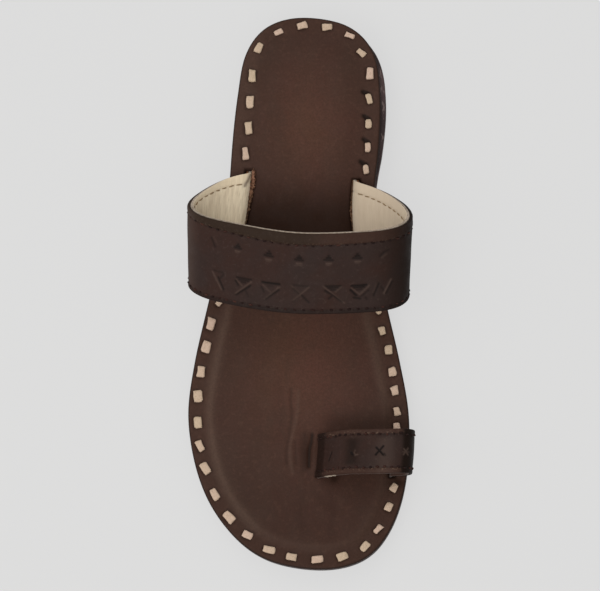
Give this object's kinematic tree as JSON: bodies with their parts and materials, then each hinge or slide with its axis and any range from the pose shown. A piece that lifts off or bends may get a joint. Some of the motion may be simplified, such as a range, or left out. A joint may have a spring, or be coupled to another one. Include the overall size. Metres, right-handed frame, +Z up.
{
  "type": "flat sandal",
  "caption": "Flat leather slip-on sandal for a right foot, with a broad instep strap, a toe ring, a lace-stitched footbed and a low stacked heel.",
  "frame": {"origin": "middle of the heel's resting face, on the floor", "axes": "+Z up, -Y along the sole to the toe, +X towards the medial side, where the big toe is"},
  "size_m": [0.113, 0.28, 0.0715],
  "materials": {
    "outsole_leather": "dark edge-dyed sole leather, waxed edge",
    "heel_leather": "stacked dark leather, waxed edge",
    "footbed_leather": "smooth brown leather, satin, lightly mottled",
    "strap_leather": "dark brown leather, satin, stamped",
    "lining_leather": "pale tan leather lining, matt",
    "lace_leather": "pale flat rawhide lace",
    "stitch_thread": "waxed dark red-brown thread"
  },
  "bodies": {
    "root": {"outsole": "outsole_leather", "heel": "heel_leather", "insole": "footbed_leather", "instep_strap": "strap_leather", "toe_ring": "strap_leather"}
  },
  "joints": []
}
